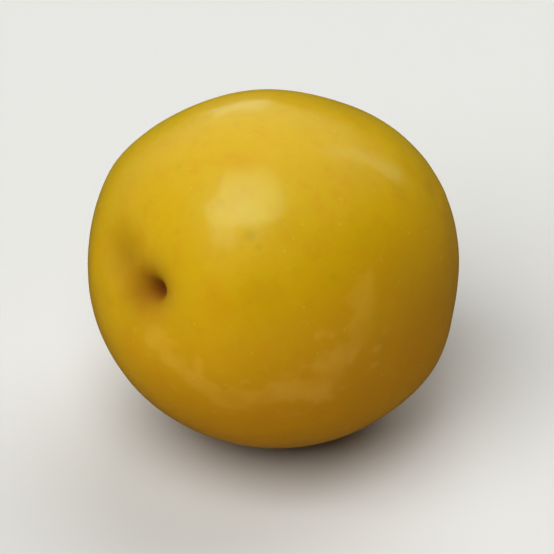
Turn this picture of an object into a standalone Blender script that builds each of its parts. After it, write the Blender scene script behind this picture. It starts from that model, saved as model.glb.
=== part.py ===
"""Whole green olive, cured, lying on its side with its stem end a little raised.

One solid: a plump fruit with a stem cavity sunk into its broad end, a low nipple at its tip,
soft swells and flats round its flesh, and the small flat spot that it rests on.

Metres, +Z up. The long axis runs along X, with the stem end towards -X. The origin is on the
surface that the fruit rests on, under the middle of its box.
"""
import math

import bpy
from mathutils import Vector

MM = 0.001

# The fruit as a turned body
LENGTH = 20.9 * MM
WIDTH = 19.1 * MM
BELLY_SHIFT = 0.03
STEM_END_FULLNESS = 0.95

# The cavity that the stalk left, as three hollows inside one another
BASIN_DEPTH = 0.40 * MM
BASIN_RADIUS = 2.6 * MM
FUNNEL_DEPTH = 0.65 * MM
FUNNEL_RADIUS = 1.05 * MM
PIT_DEPTH = 0.35 * MM
PIT_RADIUS = 0.45 * MM

# The nipple at the tip
NIPPLE_HEIGHT = 0.22 * MM
NIPPLE_RADIUS = 2.2 * MM

# Soft swells and flats of the flesh: degrees from the stem end, degrees round the long axis
# from the upper side, height, and half width in degrees
SWELLS = (
    (61.0, 66.0, 0.34 * MM, 18.0),
    (103.0, 2.0, -0.18 * MM, 22.0),
    (57.0, 142.0, -0.12 * MM, 30.0),
    (98.0, -143.0, 0.27 * MM, 29.0),
    (123.0, -84.0, -0.20 * MM, 20.0),
    (119.0, -34.0, 0.08 * MM, 20.0),
    (104.0, 96.0, 0.12 * MM, 32.0),
    (118.0, -112.0, 0.38 * MM, 20.0),
)

# How it lies
STEM_END_RISE = math.radians(17.0)
REST_SPOT_DEPTH = 0.24 * MM

# Facets: steps round the axis, and the steps of the outline, which grow from the stem pole
STEPS_ROUND = 60
FIRST_STEP = math.radians(1.2)
LARGEST_STEP = math.radians(5.0)
STEP_GROWTH = 1.12
MERGE_DISTANCE = 0.000001
SHARP_ANGLE = math.radians(35.0)

# The slab that cuts the flat spot
SLAB_SIDE = 16.0 * MM
SLAB_HEIGHT = 4.0 * MM

SKIN_COLOUR = (0.52, 0.34, 0.028, 1.0)
SKIN_ROUGHNESS = 0.28


def clear_scene():
    """Remove every object that the open file holds."""
    for old in list(bpy.data.objects):
        bpy.data.objects.remove(old, do_unlink=True)


def new_collection(name):
    """Make a collection in the scene."""
    collection = bpy.data.collections.new(name)
    bpy.context.scene.collection.children.link(collection)
    return collection


def skin_material():
    """The cured skin: a golden olive green with a wet gloss."""
    material = bpy.data.materials.new("olive_skin")
    material.use_nodes = True
    shader = material.node_tree.nodes["Principled BSDF"]
    shader.inputs["Base Color"].default_value = SKIN_COLOUR
    shader.inputs["Roughness"].default_value = SKIN_ROUGHNESS
    shader.inputs["Metallic"].default_value = 0.0
    material.diffuse_color = SKIN_COLOUR
    return material


def bell(distance, radius):
    """A smooth bump: 1 at the middle, near 0 at about twice its radius."""
    return math.exp(-(distance / radius) ** 2)


def cavity_depth(across):
    """How far the stem cavity is sunk at this distance from the long axis."""
    basin = BASIN_DEPTH * bell(across, BASIN_RADIUS)
    funnel = FUNNEL_DEPTH * bell(across, FUNNEL_RADIUS)
    pit = PIT_DEPTH * bell(across, PIT_RADIUS)
    return basin + funnel + pit


def section_point(angle):
    """A point of the lengthwise section, at this angle from the stem end."""
    stem_side = math.cos(angle) > 0.0
    fullness = STEM_END_FULLNESS if stem_side else 1.0
    girth = max(math.sin(angle), 0.0) ** fullness
    across = 0.5 * WIDTH * girth * (1.0 + BELLY_SHIFT * math.cos(angle))
    along = 0.5 * LENGTH * math.cos(angle)
    if stem_side:
        along -= cavity_depth(across)
    else:
        along -= NIPPLE_HEIGHT * bell(across, NIPPLE_RADIUS)
    return Vector((across, 0.0, along))


def section_angles():
    """Angles of the outline's points, close together in the cavity and wider on the flesh."""
    angles = [0.0]
    step = FIRST_STEP
    while angles[-1] + 1.5 * step < math.pi:
        angles.append(angles[-1] + step)
        step = min(step * STEP_GROWTH, LARGEST_STEP)
    return angles + [math.pi]


def swollen(point):
    """Move a point of the turned body out or in by the soft swells and flats."""
    outward = point.normalized()
    height = 0.0
    for from_stem, round_axis, rise, half_width in SWELLS:
        polar = math.radians(from_stem)
        turn = math.radians(round_axis)
        ring = math.sin(polar)
        centre = Vector((ring * math.cos(turn), ring * math.sin(turn), math.cos(polar)))
        height += rise * bell(outward.angle(centre), math.radians(half_width))
    return point + outward * height


def turned_fruit(collection):
    """Turn the outline about its long axis, which stands upright here with the stem end up."""
    angles = section_angles()
    points = [section_point(angle) for angle in angles]
    points[0].x = 0.0
    points[-1].x = 0.0
    outline = bpy.data.meshes.new("olive_outline")
    outline.from_pydata(points, [(i, i + 1) for i in range(len(points) - 1)], [])
    profile = bpy.data.objects.new("olive_profile", outline)
    collection.objects.link(profile)
    screw = profile.modifiers.new("turn", "SCREW")
    screw.axis = "Z"
    screw.angle = math.tau
    screw.steps = STEPS_ROUND
    screw.render_steps = STEPS_ROUND
    screw.use_merge_vertices = True
    screw.merge_threshold = MERGE_DISTANCE
    evaluated = profile.evaluated_get(bpy.context.evaluated_depsgraph_get())
    mesh = bpy.data.meshes.new_from_object(evaluated)
    bpy.data.objects.remove(profile, do_unlink=True)
    mesh.name = "olive"
    return mesh


def lay_down(olive):
    """Lay the fruit on its side, its box centred on the origin and its lowest skin below it."""
    olive.rotation_euler = (0.0, STEM_END_RISE - math.radians(90.0), 0.0)
    bpy.context.view_layer.update()
    placed = [olive.matrix_world @ vertex.co for vertex in olive.data.vertices]
    low = [min(point[axis] for point in placed) for axis in range(3)]
    high = [max(point[axis] for point in placed) for axis in range(3)]
    olive.location = (-0.5 * (low[0] + high[0]), -0.5 * (low[1] + high[1]),
                      -low[2] - REST_SPOT_DEPTH)


def flat_spot_slab(collection):
    """The cutter under the surface, which takes off what would stand below it."""
    bpy.ops.mesh.primitive_cube_add(size=1.0, location=(0.0, 0.0, -0.5 * SLAB_HEIGHT))
    slab = bpy.context.object
    slab.name = "flat_spot_slab"
    slab.scale = (SLAB_SIDE, SLAB_SIDE, SLAB_HEIGHT)
    for holder in list(slab.users_collection):
        holder.objects.unlink(slab)
    collection.objects.link(slab)
    slab.hide_render = True
    slab.display_type = "WIRE"
    return slab


def build_olive(parts, cutters):
    """The fruit: turned, swollen, laid on its side and cut flat where it rests."""
    mesh = turned_fruit(parts)
    for vertex in mesh.vertices:
        vertex.co = swollen(vertex.co)
    mesh.shade_smooth()
    mesh.set_sharp_from_angle(angle=SHARP_ANGLE)
    mesh.materials.append(skin_material())
    olive = bpy.data.objects.new("olive", mesh)
    parts.objects.link(olive)
    lay_down(olive)
    cut = olive.modifiers.new("flat_spot", "BOOLEAN")
    cut.operation = "DIFFERENCE"
    cut.object = flat_spot_slab(cutters)
    return olive


def main():
    clear_scene()
    build_olive(new_collection("green_olive"), new_collection("cutters"))


main()
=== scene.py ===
"""Green olive: the finished look of a whole cured olive lying on a pale table.

The fruit's skin is a fine mesh of the same form as its solid, with the soft unevenness, small
dents, creases and stalk scar of a real one. Its material is wet and slightly translucent, with
clouds, pores and flecks, painted shade that browns its lower side and the dip beside its cavity,
and faint pale painted reflections.
Lengths are metres. Places and sizes inside a material are millimetres.
"""
import math

import bmesh
import bpy
import numpy as np
from bpy.props import FloatProperty, FloatVectorProperty, IntProperty, PointerProperty
from mathutils import Matrix, Vector, noise


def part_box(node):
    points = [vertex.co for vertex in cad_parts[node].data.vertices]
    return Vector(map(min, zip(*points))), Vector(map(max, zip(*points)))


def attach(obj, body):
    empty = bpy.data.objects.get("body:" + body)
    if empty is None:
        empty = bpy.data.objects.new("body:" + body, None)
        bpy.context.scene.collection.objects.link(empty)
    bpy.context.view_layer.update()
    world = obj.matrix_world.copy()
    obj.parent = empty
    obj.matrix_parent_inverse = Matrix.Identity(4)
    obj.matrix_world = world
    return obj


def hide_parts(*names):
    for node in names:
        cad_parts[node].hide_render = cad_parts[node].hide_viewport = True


bl_info = {
    "name": "Green olive",
    "version": (1, 0, 0),
    "blender": (4, 5, 0),
    "location": "View3D > Sidebar > Olive",
    "description": "Builds a whole cured green olive and a plain studio for it",
    "category": "Add Mesh",
}

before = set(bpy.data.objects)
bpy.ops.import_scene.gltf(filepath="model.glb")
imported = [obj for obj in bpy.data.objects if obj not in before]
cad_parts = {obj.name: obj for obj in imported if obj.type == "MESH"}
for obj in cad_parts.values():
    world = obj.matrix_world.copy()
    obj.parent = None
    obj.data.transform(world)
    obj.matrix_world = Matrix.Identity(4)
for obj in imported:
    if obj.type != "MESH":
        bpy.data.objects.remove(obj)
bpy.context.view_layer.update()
FRUIT_LOW, FRUIT_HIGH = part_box("olive")

# A millimetre in metres
MM = 0.001
BODY = "root"
NODE = "olive"

# Soft swells and flats of the flesh, as in the solid: degrees from the stem end, degrees round
# the long axis from the upper side, height, and half width in degrees
SWELLS = (
    (61.0, 66.0, 0.34 * MM, 18.0),
    (103.0, 2.0, -0.18 * MM, 22.0),
    (57.0, 142.0, -0.12 * MM, 30.0),
    (98.0, -143.0, 0.27 * MM, 29.0),
    (123.0, -84.0, -0.20 * MM, 20.0),
    (119.0, -34.0, 0.08 * MM, 20.0),
    (104.0, 96.0, 0.12 * MM, 32.0),
    (118.0, -112.0, 0.38 * MM, 20.0),
)

# How strongly the mesh's grid is drawn together towards the stem end
GRID_PULL = 0.6
# How softly the flat spot's edge is rounded
SPOT_SOFTNESS = 0.02 * MM

# Small brown flecks that are seen in the skin: degrees from the stem end, degrees round the long
# axis from the upper side, radius, and strength. More are scattered over it
FLECKS = (
    (37.7, -42.4, 0.30 * MM, 1.0),
    (38.4, -49.1, 0.18 * MM, 0.8),
    (74.0, -82.0, 0.20 * MM, 0.6),
)

# Painted reflections: faint pale streaks painted into the skin's colour where the wet skin would
# mirror pale things. The points that each runs through, as degrees from the stem end and degrees
# round the long axis, then its half width and strength
REFLECTION_BELOW_CAVITY = ((13.0, -165.0), (19.0, -148.0), (27.0, -141.0), (33.0, -136.0),
                      (40.0, -133.0), (45.0, -123.0))
REFLECTION_UNDER_BELLY = ((50.0, -116.0), (55.0, -112.0), (62.0, -110.0), (63.0, -103.0),
                     (63.0, -97.0))
REFLECTION_ASIDE = ((65.0, -94.0), (69.0, -91.0), (66.0, -85.0), (69.0, -81.0),
               (67.0, -76.0), (70.0, -72.0))
PAINTED_REFLECTIONS = (
    (REFLECTION_BELOW_CAVITY, 0.68 * MM, 0.75),
    (REFLECTION_UNDER_BELLY, 0.95 * MM, 1.0),
    (REFLECTION_ASIDE, 0.66 * MM, 0.7),
)
# One noise makes the painted reflections' edges ragged. Another, read this far off, makes their
# strength uneven round its usual level
RAGGED = 1.1
RAGGED_SIZE = 0.65 * MM
REFLECTION_LEVEL = 0.85
UNEVEN = 0.7
UNEVEN_SIZE = 1.1 * MM
UNEVEN_OFFSET = 5.0 * MM

# What the scattered dents and flecks are drawn between. A place along the fruit is the cosine of
# the angle from the stem end, so that the marks lie evenly
DENT_PLACES = (-0.95, 0.80)
DENT_DEGREES = (3.0, 8.5)
DENT_STRENGTHS = (0.25, 1.0)
FLECK_PLACES = (-1.0, 0.90)
FLECK_TURNS = (-180.0, 180.0)
FLECK_MILLIMETRES = (0.08, 0.22)
FLECK_STRENGTHS = (0.2, 0.8)
# The same for the creases: where each starts and ends and how wide it is, in millimetres, how far
# it strays from its even place, in spacings, and how it bends, in radians for each millimetre
CREASE_STARTS = (0.75, 1.1)
CREASE_ENDS = (1.5, 3.0)
CREASE_WIDTHS = (0.12, 0.24)
CREASE_STRAYS = (-0.35, 0.35)
CREASE_BENDS = (-0.12, 0.12)
CREASE_STRENGTHS = (0.4, 1.0)
# How far a crease takes to deepen and to fade
CREASE_RISE = 0.3 * MM
CREASE_FADE = 1.0 * MM

# The stalk scar, the browned halo round the cavity, and the dimple at the tip
SCAR_RADIUS = 0.62 * MM
SCAR_LUMP_SIZE = 0.13 * MM
HALO_RADIUS = 2.0 * MM
HALO_STRENGTH = 0.4
DIMPLE_RADIUS = 0.28 * MM
DIMPLE_DEPTH = 0.05 * MM
# How brown the fold and the dimple are, against the cavity
FOLD_STAIN = 0.9
DIMPLE_STAIN = 0.8

# Clouds in the skin and on the table, and the skin's fine grain: millimetres across
BROAD_CLOUDS = 7.0
SMALL_CLOUDS = 3.0
MOTTLING = 0.8
GRAIN = 0.16
TABLE_CLOUDS = 40.0
# Where in a cloud's range its colour starts and is full, and how much of it shows there
GREENER_RANGE = (0.40, 0.70)
BROWNER_RANGE = (0.52, 0.78)
BROWNER_STRENGTH = 0.30
MOTTLED_RANGE = (0.45, 0.80)
MOTTLED_STRENGTH = 0.24
# Painted shade: the lower side is painted browner, darker towards the bottom as if in shade. The
# way that it faces, where along that way from the surface under the fruit it starts and is full,
# how much of it shows, and how far the broad clouds shift its edge
PAINTED_SHADE_WAY = Vector((0.05, -0.35, -0.92))
PAINTED_SHADE_RANGE = (-13.5, -2.5)
PAINTED_SHADE_STRENGTH = 0.80
PAINTED_SHADE_SHIFT = 5.0
# Pores: how many to a millimetre, the range of chance over which they come to show, their rim
# and their middle as shares of their spacing, and how much of their colour shows
PORE_COUNT = 1.25
PORE_CHANCES = (0.20, 0.60)
PORE_EDGE = (0.12, 0.05)
PORE_STRENGTH = 0.36
# The marks that the mesh carries, from the lowest to the uppermost: name, colour, and how much of
# it shows where the mark is strongest
MARKS = (
    ("dent", "brown", 0.08),
    ("crease", "brown", 0.08),
    ("fleck", "speck", 0.38),
    # Painted reflection: pale streaks that stand for reflections in the wet skin
    ("painted_reflection", "painted_reflection_colour", 0.145),
    # The halo also carries painted shade in the brow, the broad dip beside the cavity
    ("halo", "brown", 0.38),
    ("hollow", "brown", 0.80),
    ("scar", "scar", 1.0),
)
# Shares of the grain, the mottling and the pores in the skin's fine relief
GRAIN_RELIEF = 0.6
MOTTLING_RELIEF = 0.5
PORE_RELIEF = 0.8
# How much rougher the mottling and the browned cavity make the skin, and how brown it is where
# it starts to be dull and where it is quite dull
MOTTLED_ROUGHNESS = 0.10
DULL_ROUGHNESS = 0.5
DULL_RANGE = (0.05, 0.55)
# How far red, green and blue light go through the flesh, against the glow's depth
GLOW_REACH = (1.0, 0.55, 0.12)

# The picture's contrast: below 1 deepens its shadows and colours
VIEW_GAMMA = 0.87

# Where the lights hang, as how far they lie to the camera's right and level forward for each
# metre from the fruit. The soft ones have their share of brightness too
SOFT_LIGHTS = (
    ("front_light", (-0.34, -0.46), 1.0),
    ("back_light", (0.35, 0.65), 0.54),
)
WINDOW_WAY = (-0.27, -0.34)
# The window's panes: name, place across and up from its middle, width, height, and share of
# its brightness
PANES = (
    ("window_head", 50.0 * MM, 275.0 * MM, 250.0 * MM, 90.0 * MM, 0.75),
    ("window_top", 72.0 * MM, 165.0 * MM, 320.0 * MM, 130.0 * MM, 0.92),
    ("window_middle", 32.0 * MM, 30.0 * MM, 400.0 * MM, 140.0 * MM, 1.05),
    ("window_left", -100.0 * MM, -105.0 * MM, 170.0 * MM, 130.0 * MM, 0.60),
    ("window_right", 115.0 * MM, -95.0 * MM, 130.0 * MM, 110.0 * MM, 0.35),
)
# The pale ceiling that the skin mirrors, its bright part and all of it: name, the way to its
# middle, side, spread, and share of brightness. The smaller the spread, the softer the edge
CEILINGS = (
    ("bright_ceiling", (0.0, 0.40), 1900.0 * MM, math.radians(120.0), 1.4),
    ("wide_ceiling", (-0.35, 0.10), 4200.0 * MM, math.radians(158.0), 0.95),
)
# Pale beams that the skin mirrors as faint arcs: name, where the two ends are seen, to the right
# of and above the fruit's middle in halves of its width, the beam's width, and its share of
# brightness
BEAMS = (
    ("right_beam", (0.33, 0.645), (0.69, 0.475), 90.0 * MM, 1.9),
    ("far_beam", (-0.30, 0.87), (0.02, 0.92), 110.0 * MM, 1.5),
)

# The fruit's width as the camera sees it, and the picture's width in the camera, in millimetres
SEEN_WIDTH = 19.6 * MM
SENSOR_WIDTH = 36.0
# The table top: its side, how dark its clouds are, and its finish
TABLE_SIDE = 6.0
TABLE_SHADE = 0.985
TABLE_ROUGHNESS = 0.8
TABLE_SHINE = 0.1
# Faces of the backdrop's dome, round it and from pole to pole
DOME_SEGMENTS = 64
DOME_RINGS = 32


def length(name, description, millimetres, most=50.0):
    """A property for a length, kept in metres and shown in the scene's unit."""
    return FloatProperty(name=name, description=description, default=millimetres * MM, min=0.0,
                         max=most * MM, precision=5, subtype="DISTANCE", unit="LENGTH")


def share(name, description, default, most=1.0):
    """A property for a plain number from 0."""
    return FloatProperty(name=name, description=description, default=default, min=0.0, max=most)


def colour(name, description, default):
    """A property for a linear colour."""
    return FloatVectorProperty(name=name, description=description, default=default, size=3,
                               min=0.0, max=1.0, subtype="COLOR")


def turn(name, description, degrees):
    """A property for an angle, kept in radians and shown in degrees."""
    return FloatProperty(name=name, description=description, default=math.radians(degrees),
                         subtype="ANGLE", unit="ROTATION")


class OliveForm(bpy.types.PropertyGroup):
    """Sizes of the whole fruit, the same as its solid's."""

    long: length("Length", "From the stem end to the tip before the cavity is sunk", 20.9)
    wide: length("Width", "Across the belly", 19.1)
    belly_shift: share("Belly shift", "How far the widest place leans to the stem end", 0.03)
    fullness: share("Stem end fullness", "Below 1 the stem end is blunter", 0.95)
    basin_depth: length("Basin depth", "The wide shallow hollow round the stem cavity", 0.40)
    basin_radius: length("Basin radius", "Where the basin has mostly risen", 2.6)
    funnel_depth: length("Funnel depth", "The steeper hollow inside the basin", 0.65)
    funnel_radius: length("Funnel radius", "Where the funnel has mostly risen", 1.05)
    pit_depth: length("Pit depth", "The seat of the stalk at the bottom", 0.35)
    pit_radius: length("Pit radius", "Where the pit has mostly risen", 0.45)
    nipple_height: length("Nipple height", "The low point at the tip", 0.22)
    nipple_radius: length("Nipple radius", "Where the nipple has mostly sunk away", 2.2)
    rise: turn("Stem end rise", "How far the long axis is tilted up at the stem end", 17.0)


class OliveRelief(bpy.types.PropertyGroup):
    """Unevenness of the skin that is finer than the solid."""

    grid: IntProperty(name="Grid", description="Faces along each side of the six patches",
                      default=104, min=16, max=120)
    sway: length("Sway height", "Broad unevenness of the flesh", 0.045)
    sway_size: length("Sway size", "Distance over which the flesh sways", 3.4)
    ripple: length("Ripple height", "Finer unevenness on top of the sway", 0.016)
    ripple_size: length("Ripple size", "Distance over which the skin ripples", 1.3)
    dent_count: IntProperty(name="Dents", description="Small soft dents over the skin",
                            default=16, min=0, max=60)
    dent_depth: length("Dent depth", "Depth of the deepest dent", 0.055)
    fleck_count: IntProperty(name="Flecks", description="Small brown flecks scattered about",
                             default=26, min=0, max=200)
    crease_count: IntProperty(name="Creases", description="Fine creases round the cavity",
                              default=9, min=0, max=40)
    crease_depth: length("Crease depth", "Depth of the deepest crease", 0.022)
    fold_depth: length("Fold depth", "Depth of the fold that runs out of the cavity", 0.13)
    fold_width: length("Fold width", "Half width of the fold", 0.62)
    fold_reach: length("Fold reach", "From the pit to the fold's end", 2.8)
    fold_way: turn("Fold direction", "Round the long axis, from the upper side", 78.0)
    brow_depth: length("Brow depth", "Depth of the broad dip beside the cavity", 0.46)
    brow_radius: length("Brow radius", "Where the dip has mostly risen", 1.7)
    brow_reach: length("Brow reach", "From the pit to the dip's bottom", 3.1)
    brow_way: turn("Brow direction", "Round the long axis, from the upper side", 74.0)
    lip_height: length("Lip height", "Height of the low swelling beside the cavity", 0.10)
    lip_radius: length("Lip radius", "Where the swelling has mostly sunk away", 0.9)
    lip_reach: length("Lip reach", "From the pit to the swelling's top", 3.3)
    lip_way: turn("Lip direction", "Round the long axis, from the upper side", 107.0)
    stain_radius: length("Stain radius", "Where the browned skin in the cavity has faded", 1.5)
    stain_reach: length("Stain reach", "From the pit to the middle of the browned skin", 0.5)
    stain_way: turn("Stain direction", "Round the long axis, from the upper side", 92.0)
    scar_height: length("Scar relief", "Roughness of the stalk scar in the pit", 0.045)
    seed: IntProperty(name="Seed", description="Where the dents and creases fall",
                      default=7, min=0)


class OliveSkin(bpy.types.PropertyGroup):
    """Colours and gloss of the cured skin."""

    gold: colour("Gold", "Main colour of the skin", (0.530, 0.343, 0.004))
    green: colour("Green", "Greener clouds in the skin", (0.502, 0.342, 0.004))
    # Amber is also the colour of the painted shade on the lower side
    amber: colour("Amber", "Browner clouds, and the browner side", (0.500, 0.222, 0.003))
    # Brown also paints the painted shade in the brow beside the cavity
    brown: colour("Brown", "Dents and the wall of the stem cavity", (0.250, 0.094, 0.002))
    scar: colour("Scar", "The stalk scar in the pit", (0.160, 0.042, 0.003))
    pale: colour("Pale", "Pores of the skin", (0.640, 0.460, 0.060))
    # Colour of the painted reflections, pale streaks that stand for reflections in the wet skin
    painted_reflection_colour: colour("Scuffed", "Pale scuffs of the skin", (0.920, 0.610, 0.140))
    speck: colour("Speck", "Small olive-brown flecks", (0.300, 0.215, 0.004))
    roughness: share("Roughness", "Roughness of the skin itself", 0.30)
    softness: share("Softness", "Above 0 the skin stays bright towards its edges", 0.10)
    gloss: FloatProperty(name="Gloss", description="Refraction of the skin", default=1.20,
                         min=1.0, max=2.0)
    film: share("Brine film", "Weight of the wet film over the skin", 0.30)
    film_gloss: FloatProperty(name="Film gloss", description="Refraction of the brine",
                              default=1.33, min=1.0, max=2.0)
    film_roughness: share("Film roughness", "Roughness of the wet film", 0.10)
    glow: share("Glow", "How much light goes through the flesh", 0.22)
    glow_depth: length("Glow depth", "How far light travels in the flesh", 0.9)
    grain: length("Grain height", "Height of the fine grain of the skin", 0.007)


class OliveStudio(bpy.types.PropertyGroup):
    """Camera, table and lights."""

    azimuth: turn("Camera azimuth", "Turn of the camera round the fruit", -46.5)
    elevation: turn("Camera elevation", "Height of the camera above the table", 33.0)
    distance: length("Camera distance", "From the camera to the fruit's middle", 350.0, 2000.0)
    fill: share("Fill", "Share of the picture's width that the fruit takes", 0.66)
    headroom: length("Headroom", "How far below the fruit's middle the camera is aimed", 0.9)
    window_distance: length("Window distance", "From the fruit to the window", 450.0, 2000.0)
    window_shine: share("Window shine", "Brightness of the window's reflection", 12.0, 80.0)
    window_spread: turn("Window spread", "The smaller, the softer its reflection's edges", 84.0)
    soft_distance: length("Soft light distance", "From the fruit to the soft light", 2250.0,
                          9000.0)
    soft_size: length("Soft light size", "Side of the soft light", 2400.0, 9000.0)
    soft_light: share("Soft light", "Brightness of the soft lights, against white paper", 4.32,
                      80.0)
    ceiling_distance: length("Ceiling distance", "From the fruit to the ceiling", 550.0, 5000.0)
    ceiling_shine: share("Ceiling shine", "Brightness of the ceiling's reflection", 1.0, 80.0)
    beam_shine: share("Beam shine", "Brightness of the beams' reflections", 1.0, 80.0)
    daylight: colour("Daylight", "Colour of what the skin mirrors", (0.47, 0.96, 1.0))
    room_light: share("Room light", "Brightness of the room all round", 0.10, 4.0)
    room_colour: colour("Room colour", "Colour of the room all round", (1.0, 0.82, 0.50))
    backdrop: colour("Backdrop", "Colour seen above the table's far edge", (0.80, 0.80, 0.79))
    backdrop_radius: length("Backdrop radius", "From the fruit to the backdrop", 1100.0, 9000.0)
    table: colour("Table", "Colour of the table top", (0.57, 0.567, 0.56))


class Signal:
    """A node's output. Arithmetic on signals adds Math nodes."""

    def __init__(self, graph, socket):
        self.graph = graph
        self.socket = socket

    def maths(self, operation, first, second):
        """Combine two values, at least one of them a signal, in a Math node."""
        return self.graph.node("Math", {"operation": operation}, {0: first, 1: second})

    def __add__(self, other):
        return self.maths("ADD", self, other)

    def __radd__(self, other):
        return self.maths("ADD", other, self)

    def __sub__(self, other):
        return self.maths("SUBTRACT", self, other)

    def __rsub__(self, other):
        return self.maths("SUBTRACT", other, self)

    def __mul__(self, other):
        return self.maths("MULTIPLY", self, other)

    def __rmul__(self, other):
        return self.maths("MULTIPLY", other, self)


class Graph:
    """A material's nodes, starting with its own shader."""

    def __init__(self, name):
        self.material = bpy.data.materials.new(name)
        self.material.use_nodes = True
        self.tree = self.material.node_tree
        self.shader = self.tree.nodes["Principled BSDF"]

    def node(self, kind, settings=None, inputs=None, output=0):
        """Add a node, set it, feed it, and give back one of its outputs."""
        added = self.tree.nodes.new("ShaderNode" + kind)
        for name, value in (settings or {}).items():
            setattr(added, name, value)
        for name, value in (inputs or {}).items():
            self.feed(added.inputs[name], value)
        return Signal(self, added.outputs[output])

    def feed(self, socket, value):
        """Link a signal to a socket, or set the socket to a plain value."""
        if isinstance(value, Signal):
            self.tree.links.new(value.socket, socket)
        else:
            socket.default_value = value

    def mix(self, factor, first, second):
        """Blend two colours."""
        return self.node("Mix", {"data_type": "RGBA"}, {0: factor, 6: first, 7: second}, 2)

    def between(self, value, low, high):
        """0 below low, 1 above high, smooth between; falls instead where low is the larger."""
        return self.node("MapRange", {"interpolation_type": "SMOOTHSTEP"},
                         {"Value": value, "From Min": low, "From Max": high})

    def place(self):
        """Where a point lies on its object, in millimetres."""
        metres = self.node("TexCoord", None, None, "Object")
        return self.node("VectorMath", {"operation": "SCALE"},
                         {"Vector": metres, "Scale": 1.0 / MM})

    def clouds(self, place, millimetres, detail=2.0):
        """Smooth noise from 0 to 1 whose clouds are about this many millimetres across."""
        return self.node("TexNoise", None,
                         {"Vector": place, "Scale": 1.0 / millimetres, "Detail": detail})

    def painted(self, name):
        """A mask that the mesh carries."""
        return self.node("Attribute", {"attribute_name": name}, None, "Fac")


def opaque(linear):
    """A colour with full alpha, as colour sockets take it."""
    return (*linear, 1.0)


def clouded(graph, skin, place, mottle):
    """The skin's colour: gold with greener and browner clouds, and painted shade that browns its
    lower side.
    """
    broad = graph.clouds(place, BROAD_CLOUDS)
    small = graph.clouds(place, SMALL_CLOUDS, detail=3.0)
    along = graph.node("VectorMath", {"operation": "DOT_PRODUCT"}, {0: place, 1: PAINTED_SHADE_WAY},
                       "Value")
    greener = graph.between(broad, *GREENER_RANGE)
    browner = BROWNER_STRENGTH * graph.between(small, *BROWNER_RANGE)
    mottled = MOTTLED_STRENGTH * graph.between(mottle, *MOTTLED_RANGE)
    # Painted shade: browner and darker towards the lower side
    painted_shade = PAINTED_SHADE_STRENGTH * graph.between(along + PAINTED_SHADE_SHIFT * (broad - 0.5), *PAINTED_SHADE_RANGE)
    tone = graph.mix(greener, opaque(skin.gold), opaque(skin.green))
    for part in (browner, mottled, painted_shade):
        tone = graph.mix(part, tone, opaque(skin.amber))
    return tone


def pores(graph, place):
    """A mask of the skin's pores, of which only some show."""
    cells = {"Vector": place, "Scale": PORE_COUNT, "Randomness": 1.0}
    distance = graph.node("TexVoronoi", None, cells, "Distance")
    chance = graph.node("SeparateColor", None,
                        {"Color": graph.node("TexVoronoi", None, cells, "Color")})
    return graph.between(distance, *PORE_EDGE) * graph.between(chance, *PORE_CHANCES)


def skin_material(skin):
    """Cured skin: clouded gold with pores and marks, and a thin film of brine."""
    graph = Graph("cured olive skin")
    place = graph.place()
    mottle = graph.clouds(place, MOTTLING, detail=3.0)
    pore = pores(graph, place)
    marks = {name: graph.painted(name) for name, _, _ in MARKS}

    tone = clouded(graph, skin, place, mottle)
    tone = graph.mix(PORE_STRENGTH * pore, tone, opaque(skin.pale))
    for name, tint, strength in MARKS:
        tone = graph.mix(strength * marks[name], tone, opaque(getattr(skin, tint)))

    grain = graph.clouds(place, GRAIN)
    height = GRAIN_RELIEF * grain + MOTTLING_RELIEF * mottle - PORE_RELIEF * pore
    bump = graph.node("Bump", None, {"Strength": 1.0, "Distance": skin.grain, "Height": height})
    dull = graph.between(marks["hollow"], *DULL_RANGE)
    rough = skin.roughness + MOTTLED_ROUGHNESS * (mottle - 0.5) + DULL_ROUGHNESS * dull

    shader = graph.shader.inputs
    graph.feed(shader["Base Color"], tone)
    graph.feed(shader["Roughness"], rough)
    graph.feed(shader["Coat Weight"], skin.film * (1.0 - dull))
    graph.feed(shader["Normal"], bump)
    shader["Diffuse Roughness"].default_value = skin.softness
    shader["IOR"].default_value = skin.gloss
    shader["Coat Roughness"].default_value = skin.film_roughness
    shader["Coat IOR"].default_value = skin.film_gloss
    shader["Subsurface Weight"].default_value = skin.glow
    shader["Subsurface Radius"].default_value = GLOW_REACH
    shader["Subsurface Scale"].default_value = skin.glow_depth
    return graph.material


def bell(distance, radius):
    """A smooth bump: 1 at the middle, near 0 at about twice its radius."""
    return np.exp(-(distance / radius) ** 2)


def plateau(distance, radius):
    """A bump with a flat top and a steep side near its radius."""
    return np.exp(-(distance / radius) ** 4)


def direction(polar, round_axis):
    """The unit direction at an angle from the stem end and an angle round the long axis."""
    ring = np.sin(polar)
    return np.stack([ring * np.cos(round_axis), ring * np.sin(round_axis), np.cos(polar)], -1)


def patch_grid(cuts):
    """A ball of six even patches, with the stem end at the middle of the upper one."""
    ball = bmesh.new()
    bmesh.ops.create_cube(ball, size=2.0)
    bmesh.ops.subdivide_edges(ball, edges=ball.edges[:], cuts=cuts - 1, use_grid_fill=True)
    mesh = bpy.data.meshes.new(NODE + "_skin")
    ball.to_mesh(mesh)
    ball.free()
    return mesh


def read_points(mesh, what="co"):
    """The mesh's points, or their normals, as rows of an array."""
    flat = np.empty(len(mesh.vertices) * 3)
    mesh.vertices.foreach_get(what, flat)
    return flat.reshape(-1, 3)


def write_points(mesh, points):
    """Move the mesh's points to the rows of an array."""
    mesh.vertices.foreach_set("co", points.reshape(-1))
    mesh.update()


def ball_angles(cube):
    """Angle from the stem end and round the axis for points of a cube, evenly spread.

    The grid is drawn together towards the stem end, where the cavity needs finer faces."""
    even = np.tan(cube * math.pi / 4)
    even /= np.linalg.norm(even, axis=1, keepdims=True)
    polar = np.arccos(np.clip(even[:, 2], -1.0, 1.0))
    polar -= GRID_PULL * np.sin(polar) * ((1.0 + np.cos(polar)) / 2) ** 2
    return polar, np.arctan2(even[:, 1], even[:, 0])


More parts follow.
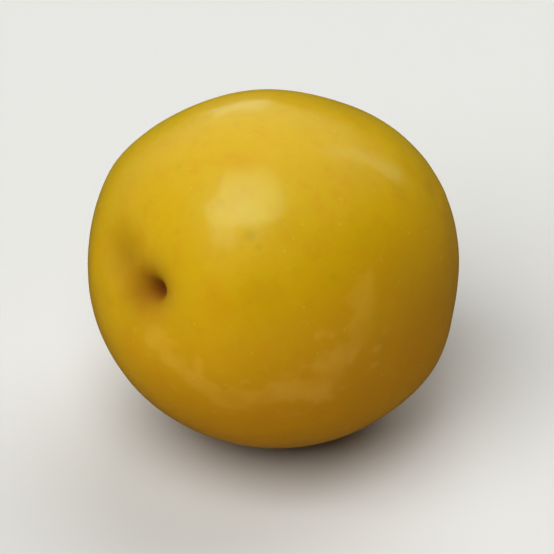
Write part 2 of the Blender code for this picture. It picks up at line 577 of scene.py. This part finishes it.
def section(form, polar):
    """Distance from the long axis and place along it, at an angle from the stem end."""
    stem_side = polar < math.pi / 2
    girth = np.sin(polar) ** np.where(stem_side, form.fullness, 1.0)
    across = 0.5 * form.wide * girth * (1.0 + form.belly_shift * np.cos(polar))
    along = 0.5 * form.long * np.cos(polar)
    cavity = (form.basin_depth * bell(across, form.basin_radius)
              + form.funnel_depth * bell(across, form.funnel_radius)
              + form.pit_depth * bell(across, form.pit_radius))
    nipple = form.nipple_height * bell(across, form.nipple_radius)
    return across, along - np.where(stem_side, cavity, nipple)


def swell(points):
    """Move the points of the turned body out or in by the soft swells and flats."""
    outward = points / np.linalg.norm(points, axis=1, keepdims=True)
    height = np.zeros(len(points))
    for from_stem, round_axis, rise, half_width in SWELLS:
        centre = direction(math.radians(from_stem), math.radians(round_axis))
        angle = np.arccos(np.clip(outward @ centre, -1.0, 1.0))
        height += rise * bell(angle, math.radians(half_width))
    return points + outward * height[:, None]


def smooth_noise(points, size):
    """Noise from -1 to 1 at each point, over this distance."""
    return np.array([noise.noise(Vector(point)) for point in points / size])


def dents(relief, points, draw):
    """Depth of the soft dents, and a mask of them."""
    depth = np.zeros(len(points))
    mask = np.zeros(len(points))
    outward = points / np.linalg.norm(points, axis=1, keepdims=True)
    for _ in range(relief.dent_count):
        centre = direction(math.acos(draw.uniform(*DENT_PLACES)), draw.uniform(0.0, math.tau))
        reach = draw.uniform(*DENT_DEGREES)
        strength = draw.uniform(*DENT_STRENGTHS)
        angle = np.degrees(np.arccos(np.clip(outward @ centre, -1.0, 1.0)))
        mark = strength * bell(angle, reach)
        depth += relief.dent_depth * mark
        mask = np.maximum(mask, mark)
    return depth, mask


def flecks(relief, points, draw):
    """A mask of the small brown flecks."""
    mask = np.zeros(len(points))
    spots = list(FLECKS)
    for _ in range(relief.fleck_count):
        spots.append((math.degrees(math.acos(draw.uniform(*FLECK_PLACES))),
                      draw.uniform(*FLECK_TURNS), draw.uniform(*FLECK_MILLIMETRES) * MM,
                      draw.uniform(*FLECK_STRENGTHS)))
    outward = points / np.linalg.norm(points, axis=1, keepdims=True)
    reach = np.linalg.norm(points, axis=1)
    for from_stem, turned, radius, strength in spots:
        centre = direction(math.radians(from_stem), math.radians(turned))
        angle = np.arccos(np.clip(outward @ centre, -1.0, 1.0))
        mask = np.maximum(mask, strength * bell(angle * reach, radius))
    return mask


def painted_reflections(points):
    """A mask of the painted reflections: pale streaks with ragged edges and uneven strength."""
    mask = np.zeros(len(points))
    reach = np.linalg.norm(points, axis=1)
    outward = points / reach[:, None]
    ragged = 1.0 + RAGGED * smooth_noise(points, RAGGED_SIZE)
    uneven = REFLECTION_LEVEL + UNEVEN * smooth_noise(points + UNEVEN_OFFSET, UNEVEN_SIZE)
    uneven = np.clip(uneven, 0.0, 1.0)
    for stroke, half_width, strength in PAINTED_REFLECTIONS:
        corners = [direction(math.radians(from_stem), math.radians(turned))
                   for from_stem, turned in stroke]
        for start, end in zip(corners, corners[1:]):
            leg = end - start
            along = np.clip((outward - start) @ leg / (leg @ leg), 0.0, 1.0)
            beside = np.linalg.norm(outward - start - along[:, None] * leg, axis=1)
            mark = plateau(beside * reach * ragged, half_width)
            mask = np.maximum(mask, strength * uneven * mark)
    return mask


def creases(relief, across, round_axis, draw):
    """A mask of the fine creases that run out from the stem cavity."""
    mask = np.zeros(len(across))
    for step in range(relief.crease_count):
        heading = math.tau * (step + draw.uniform(*CREASE_STRAYS)) / relief.crease_count
        start = draw.uniform(*CREASE_STARTS) * MM
        end = draw.uniform(*CREASE_ENDS) * MM
        width = draw.uniform(*CREASE_WIDTHS) * MM
        bend = draw.uniform(*CREASE_BENDS)
        aside = np.angle(np.exp(1j * (round_axis - heading - bend * across / MM)))
        reach = (np.clip((across - start) / CREASE_RISE, 0.0, 1.0)
                 * np.clip((end - across) / CREASE_FADE, 0.0, 1.0))
        mark = draw.uniform(*CREASE_STRENGTHS) * bell(aside * across, width) * reach
        mask = np.maximum(mask, mark)
    return mask


def off_pit(across, round_axis, reach, way):
    """Distance to a point this far from the pit in this direction round the long axis."""
    place = across * np.exp(1j * round_axis)
    return np.abs(place - reach * np.exp(1j * way))


def fold(relief, across, round_axis):
    """Mask of the fold from the pit outwards, which fades and narrows to its end."""
    turned = across * np.exp(1j * (round_axis - relief.fold_way))
    along = np.clip(turned.real, 0.0, relief.fold_reach)
    beside = np.abs(turned - along)
    fade = 1.0 - along / relief.fold_reach
    return bell(beside, relief.fold_width * (0.5 + 0.5 * fade)) * fade


def lay_down(form, points):
    """Tilt the fruit as the solid lies, and set its middle and top on the solid's."""
    tilt = np.array(Matrix.Rotation(form.rise - math.pi / 2, 3, "Y"))
    points = points @ tilt.T
    low, high = points.min(0), points.max(0)
    middle = 0.5 * (np.array(FRUIT_LOW) + np.array(FRUIT_HIGH)) - 0.5 * (low + high)
    return points + np.array([middle[0], middle[1], FRUIT_HIGH[2] - high[2]])


def settle(points):
    """Flatten what would stand below the table, with a soft edge."""
    level = points[:, 2]
    points[:, 2] = 0.5 * (level + np.sqrt(level ** 2 + SPOT_SOFTNESS ** 2))
    return points


def paint(mesh, name, values):
    """Store a mask on the mesh's points."""
    layer = mesh.attributes.new(name, "FLOAT", "POINT")
    layer.data.foreach_set("value", np.clip(values, 0.0, 1.0))


def end_masks(relief, polar, across, round_axis):
    """Masks of what lies in and beside the stem cavity, and of the dimple at the tip."""
    from_stain = off_pit(across, round_axis, relief.stain_reach, relief.stain_way)
    from_brow = off_pit(across, round_axis, relief.brow_reach, relief.brow_way)
    from_lip = off_pit(across, round_axis, relief.lip_reach, relief.lip_way)
    masks = {
        "scar": bell(across, SCAR_RADIUS),
        "halo": HALO_STRENGTH * bell(across, HALO_RADIUS),
        "stain": bell(from_stain, relief.stain_radius),
        "fold": fold(relief, across, round_axis),
        "brow": bell(from_brow, relief.brow_radius),
        "lip": bell(from_lip, relief.lip_radius),
    }
    stem_side = polar < math.pi / 2
    masks = {name: mask * stem_side for name, mask in masks.items()}
    masks["dimple"] = bell(across, DIMPLE_RADIUS) * ~stem_side
    return masks


def relief_height(relief, points, masks, pressed):
    """How far the skin stands out from the solid's form where it is pressed in this deep."""
    height = relief.sway * smooth_noise(points, relief.sway_size)
    height += relief.ripple * smooth_noise(points, relief.ripple_size)
    height -= pressed
    height += relief.scar_height * masks["scar"] * smooth_noise(points, SCAR_LUMP_SIZE)
    height -= DIMPLE_DEPTH * masks["dimple"]
    height -= relief.fold_depth * masks["fold"]
    height -= relief.brow_depth * masks["brow"]
    height += relief.lip_height * masks["lip"]
    return height


def fruit_mesh(form, relief):
    """The whole skin: the solid's form, then dents, creases, scar and unevenness on it."""
    mesh = patch_grid(relief.grid)
    polar, round_axis = ball_angles(read_points(mesh))
    across, along = section(form, polar)
    points = np.stack([across * np.cos(round_axis), across * np.sin(round_axis), along], -1)
    points = swell(points)
    write_points(mesh, points)
    normals = read_points(mesh, "normal")

    draw = np.random.default_rng(relief.seed)
    dent_depth, dent_mask = dents(relief, points, draw)
    crease_mask = creases(relief, across, round_axis, draw) * (polar < math.pi / 2)
    masks = end_masks(relief, polar, across, round_axis)
    pressed = dent_depth + relief.crease_depth * crease_mask
    height = relief_height(relief, points, masks, pressed)
    points = points + normals * height[:, None]
    write_points(mesh, settle(lay_down(form, points)))

    browned = np.maximum(masks["stain"], FOLD_STAIN * masks["fold"])
    paint(mesh, "dent", dent_mask)
    paint(mesh, "fleck", flecks(relief, points, draw))
    # Painted reflection: pale streaks where the wet skin would mirror pale things
    paint(mesh, "painted_reflection", painted_reflections(points))
    paint(mesh, "crease", crease_mask)
    paint(mesh, "hollow", browned + DIMPLE_STAIN * masks["dimple"])
    # Browned skin round the cavity, and painted shade in the brow, the broad dip beside it
    paint(mesh, "halo", np.maximum(masks["halo"], masks["brow"]))
    paint(mesh, "scar", masks["scar"] ** 2)
    mesh.shade_smooth()
    return mesh


def add_object(name, data):
    """Put new data into the scene as an object."""
    added = bpy.data.objects.new(name, data)
    bpy.context.scene.collection.objects.link(added)
    return added


def picture_axes(studio):
    """The camera's own directions: right, level forward, and back towards the camera."""
    right = Vector((math.cos(studio.azimuth), math.sin(studio.azimuth), 0.0))
    forward = Vector((-right.y, right.x, 0.0))
    back = Vector((0.0, 0.0, math.sin(studio.elevation))) - forward * math.cos(studio.elevation)
    return right, forward, back


def add_camera(studio, target):
    """A long lens at the photograph's viewing angle, aimed at this place."""
    back = picture_axes(studio)[2]
    data = bpy.data.cameras.new("camera")
    data.sensor_width = SENSOR_WIDTH
    data.lens = SENSOR_WIDTH * studio.fill * studio.distance / SEEN_WIDTH
    data.clip_start = 0.01
    data.clip_end = 10.0
    camera = add_object("camera", data)
    camera.location = target + back * studio.distance
    camera.rotation_euler = back.to_track_quat("Z", "Y").to_euler()
    bpy.context.scene.camera = camera


def add_light(name, wide, tall, brightness, place, turned, spread=math.pi):
    """A flat soft light, whose brightness is given against white paper's.

    A smaller spread fades it away from the point that faces the fruit squarely. It would also
    gather the same power there, which the last factor undoes."""
    data = bpy.data.lights.new(name, "AREA")
    data.shape = "RECTANGLE"
    data.size = wide
    data.size_y = tall
    data.energy = brightness * math.pi * wide * tall
    if spread < math.pi:
        data.spread = spread
        data.energy *= 1.0 - 0.5 * spread / math.tan(0.5 * spread)
    light = add_object(name, data)
    light.location = place
    light.rotation_euler = turned
    return light


def facing(heading, along):
    """The frame of a light that faces the fruit from this heading: across, up and turn."""
    across = (along - heading * along.dot(heading)).normalized()
    upward = heading.cross(across)
    return across, upward, Matrix((across, upward, heading)).transposed().to_euler()


def hung(studio, way, distance, target):
    """Where a light hangs by its way, and its frame: its middle, across, up and turn."""
    right, forward, _ = picture_axes(studio)
    aside, ahead = way
    heading = (right * aside + forward * ahead
               + Vector((0.0, 0.0, math.sqrt(1.0 - aside ** 2 - ahead ** 2))))
    return target + heading * distance, *facing(heading, right)


def add_soft_lights(studio, target):
    """The soft lights before and behind the fruit, which the skin doesn't mirror."""
    for name, way, strength in SOFT_LIGHTS:
        middle, _, _, turned = hung(studio, way, studio.soft_distance, target)
        light = add_light(name, studio.soft_size, studio.soft_size,
                          strength * studio.soft_light, middle, turned)
        light.visible_glossy = False


def add_window(studio, target):
    """What the wet skin mirrors: a window's panes, with a narrow post low in its middle."""
    middle, across, upward, turned = hung(studio, WINDOW_WAY, studio.window_distance, target)
    for name, aside, above, wide, tall, strength in PANES:
        pane = add_light(name, wide, tall, strength * studio.window_shine,
                         middle + across * aside + upward * above, turned,
                         studio.window_spread)
        pane.data.color = studio.daylight
        pane.visible_diffuse = False


def add_ceilings(studio, target):
    """The pale ceiling, which only shows as a sheen on the upper skin."""
    for name, way, side, spread, strength in CEILINGS:
        place, _, _, turned = hung(studio, way, studio.ceiling_distance, target)
        ceiling = add_light(name, side, side, strength * studio.ceiling_shine, place, turned,
                            spread)
        ceiling.data.color = studio.daylight
        ceiling.visible_diffuse = False


def mirrored(studio, place):
    """The direction that a ball mirrors at this place of its picture."""
    right, forward, back = picture_axes(studio)
    upward = back.cross(right)
    aside, above = place
    outward = (right * aside + upward * above
               + back * math.sqrt(1.0 - aside ** 2 - above ** 2))
    return 2.0 * outward.dot(back) * outward - back


def add_beams(studio, target):
    """The pale beams, which only show as faint arcs on the upper skin."""
    for name, seen_start, seen_end, wide, strength in BEAMS:
        start = mirrored(studio, seen_start) * studio.window_distance
        end = mirrored(studio, seen_end) * studio.window_distance
        middle = 0.5 * (start + end)
        turned = facing(middle.normalized(), end - start)[2]
        beam = add_light(name, (end - start).length, wide, strength * studio.beam_shine,
                         target + middle, turned)
        beam.data.color = studio.daylight
        beam.visible_diffuse = False


def table_material(studio):
    """A pale matt table top with a trace of unevenness in its tone."""
    graph = Graph("pale table")
    cloud = graph.clouds(graph.place(), TABLE_CLOUDS)
    darker = tuple(TABLE_SHADE * part for part in studio.table)
    shader = graph.shader.inputs
    graph.feed(shader["Base Color"], graph.mix(cloud, opaque(studio.table), opaque(darker)))
    shader["Roughness"].default_value = TABLE_ROUGHNESS
    shader["Specular IOR Level"].default_value = TABLE_SHINE
    return graph.material


def add_table(studio):
    """The table top, well past the picture's edges."""
    grid = bmesh.new()
    bmesh.ops.create_grid(grid, x_segments=1, y_segments=1, size=TABLE_SIDE / 2)
    mesh = bpy.data.meshes.new("table_top")
    grid.to_mesh(mesh)
    grid.free()
    mesh.materials.append(table_material(studio))
    table = add_object("table_top", mesh)
    table.visible_glossy = False


def add_backdrop(studio, target):
    """A pale dome that only the camera sees, behind the table in low views."""
    dome = bmesh.new()
    bmesh.ops.create_uvsphere(dome, u_segments=DOME_SEGMENTS, v_segments=DOME_RINGS,
                              radius=studio.backdrop_radius)
    mesh = bpy.data.meshes.new("backdrop")
    dome.to_mesh(mesh)
    dome.free()
    mesh.shade_smooth()
    graph = Graph("pale backdrop")
    shader = graph.shader.inputs
    shader["Base Color"].default_value = opaque((0.0, 0.0, 0.0))
    shader["Emission Color"].default_value = opaque(studio.backdrop)
    shader["Emission Strength"].default_value = 1.0
    mesh.materials.append(graph.material)
    backdrop = add_object("backdrop", mesh)
    backdrop.location = target
    for rays in ("diffuse", "glossy", "transmission", "volume_scatter", "shadow"):
        setattr(backdrop, "visible_" + rays, False)


def light_room(studio):
    """Even light from all round, like a plain pale room."""
    world = bpy.data.worlds.new("room")
    world.use_nodes = True
    background = world.node_tree.nodes["Background"]
    background.inputs["Color"].default_value = opaque(studio.room_colour)
    background.inputs["Strength"].default_value = studio.room_light
    bpy.context.scene.world = world


class OLIVE_OT_fruit(bpy.types.Operator):
    """Build the olive's skin over its solid"""

    bl_idname = "mesh.olive_fruit"
    bl_label = "Olive fruit"

    def execute(self, context):
        scene = context.scene
        mesh = fruit_mesh(scene.olive_form, scene.olive_relief)
        mesh.materials.append(skin_material(scene.olive_skin))
        fruit = add_object("olive_fruit", mesh)
        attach(fruit, BODY)
        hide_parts(NODE)
        return {"FINISHED"}


class OLIVE_OT_studio(bpy.types.Operator):
    """Set up the table, the lights and the camera"""

    bl_idname = "scene.olive_studio"
    bl_label = "Olive studio"

    def execute(self, context):
        studio = context.scene.olive_studio
        view = context.scene.view_settings
        view.view_transform = "Standard"
        view.gamma = VIEW_GAMMA
        middle = (Vector(FRUIT_LOW) + Vector(FRUIT_HIGH)) / 2
        add_table(studio)
        add_backdrop(studio, middle)
        light_room(studio)
        add_soft_lights(studio, middle)
        add_window(studio, middle)
        add_ceilings(studio, middle)
        add_beams(studio, middle)
        add_camera(studio, middle - Vector((0.0, 0.0, studio.headroom)))
        return {"FINISHED"}


class OLIVE_PT_panel(bpy.types.Panel):
    """Lists what builds the olive, and its sizes and colours"""

    bl_label = "Green olive"
    bl_idname = "OLIVE_PT_panel"
    bl_space_type = "VIEW_3D"
    bl_region_type = "UI"
    bl_category = "Olive"

    def draw(self, context):
        layout = self.layout
        layout.operator(OLIVE_OT_fruit.bl_idname)
        layout.operator(OLIVE_OT_studio.bl_idname)
        for name in SETTINGS:
            box = layout.box()
            group = getattr(context.scene, name)
            for setting in group.bl_rna.properties:
                if setting.identifier not in {"rna_type", "name"}:
                    box.prop(group, setting.identifier)


SETTINGS = {
    "olive_form": OliveForm,
    "olive_relief": OliveRelief,
    "olive_skin": OliveSkin,
    "olive_studio": OliveStudio,
}
OTHER_CLASSES = (OLIVE_OT_fruit, OLIVE_OT_studio, OLIVE_PT_panel)


def register():
    """Add the classes to Blender, and the settings to its scenes."""
    for name, group in SETTINGS.items():
        bpy.utils.register_class(group)
        setattr(bpy.types.Scene, name, PointerProperty(type=group))
    for other in OTHER_CLASSES:
        bpy.utils.register_class(other)


def unregister():
    """Take the classes and the settings away again."""
    for other in reversed(OTHER_CLASSES):
        bpy.utils.unregister_class(other)
    for name, group in reversed(SETTINGS.items()):
        delattr(bpy.types.Scene, name)
        bpy.utils.unregister_class(group)


def main():
    """Build the olive and its studio."""
    register()
    bpy.ops.mesh.olive_fruit()
    bpy.ops.scene.olive_studio()


if __name__ == "__main__":
    main()
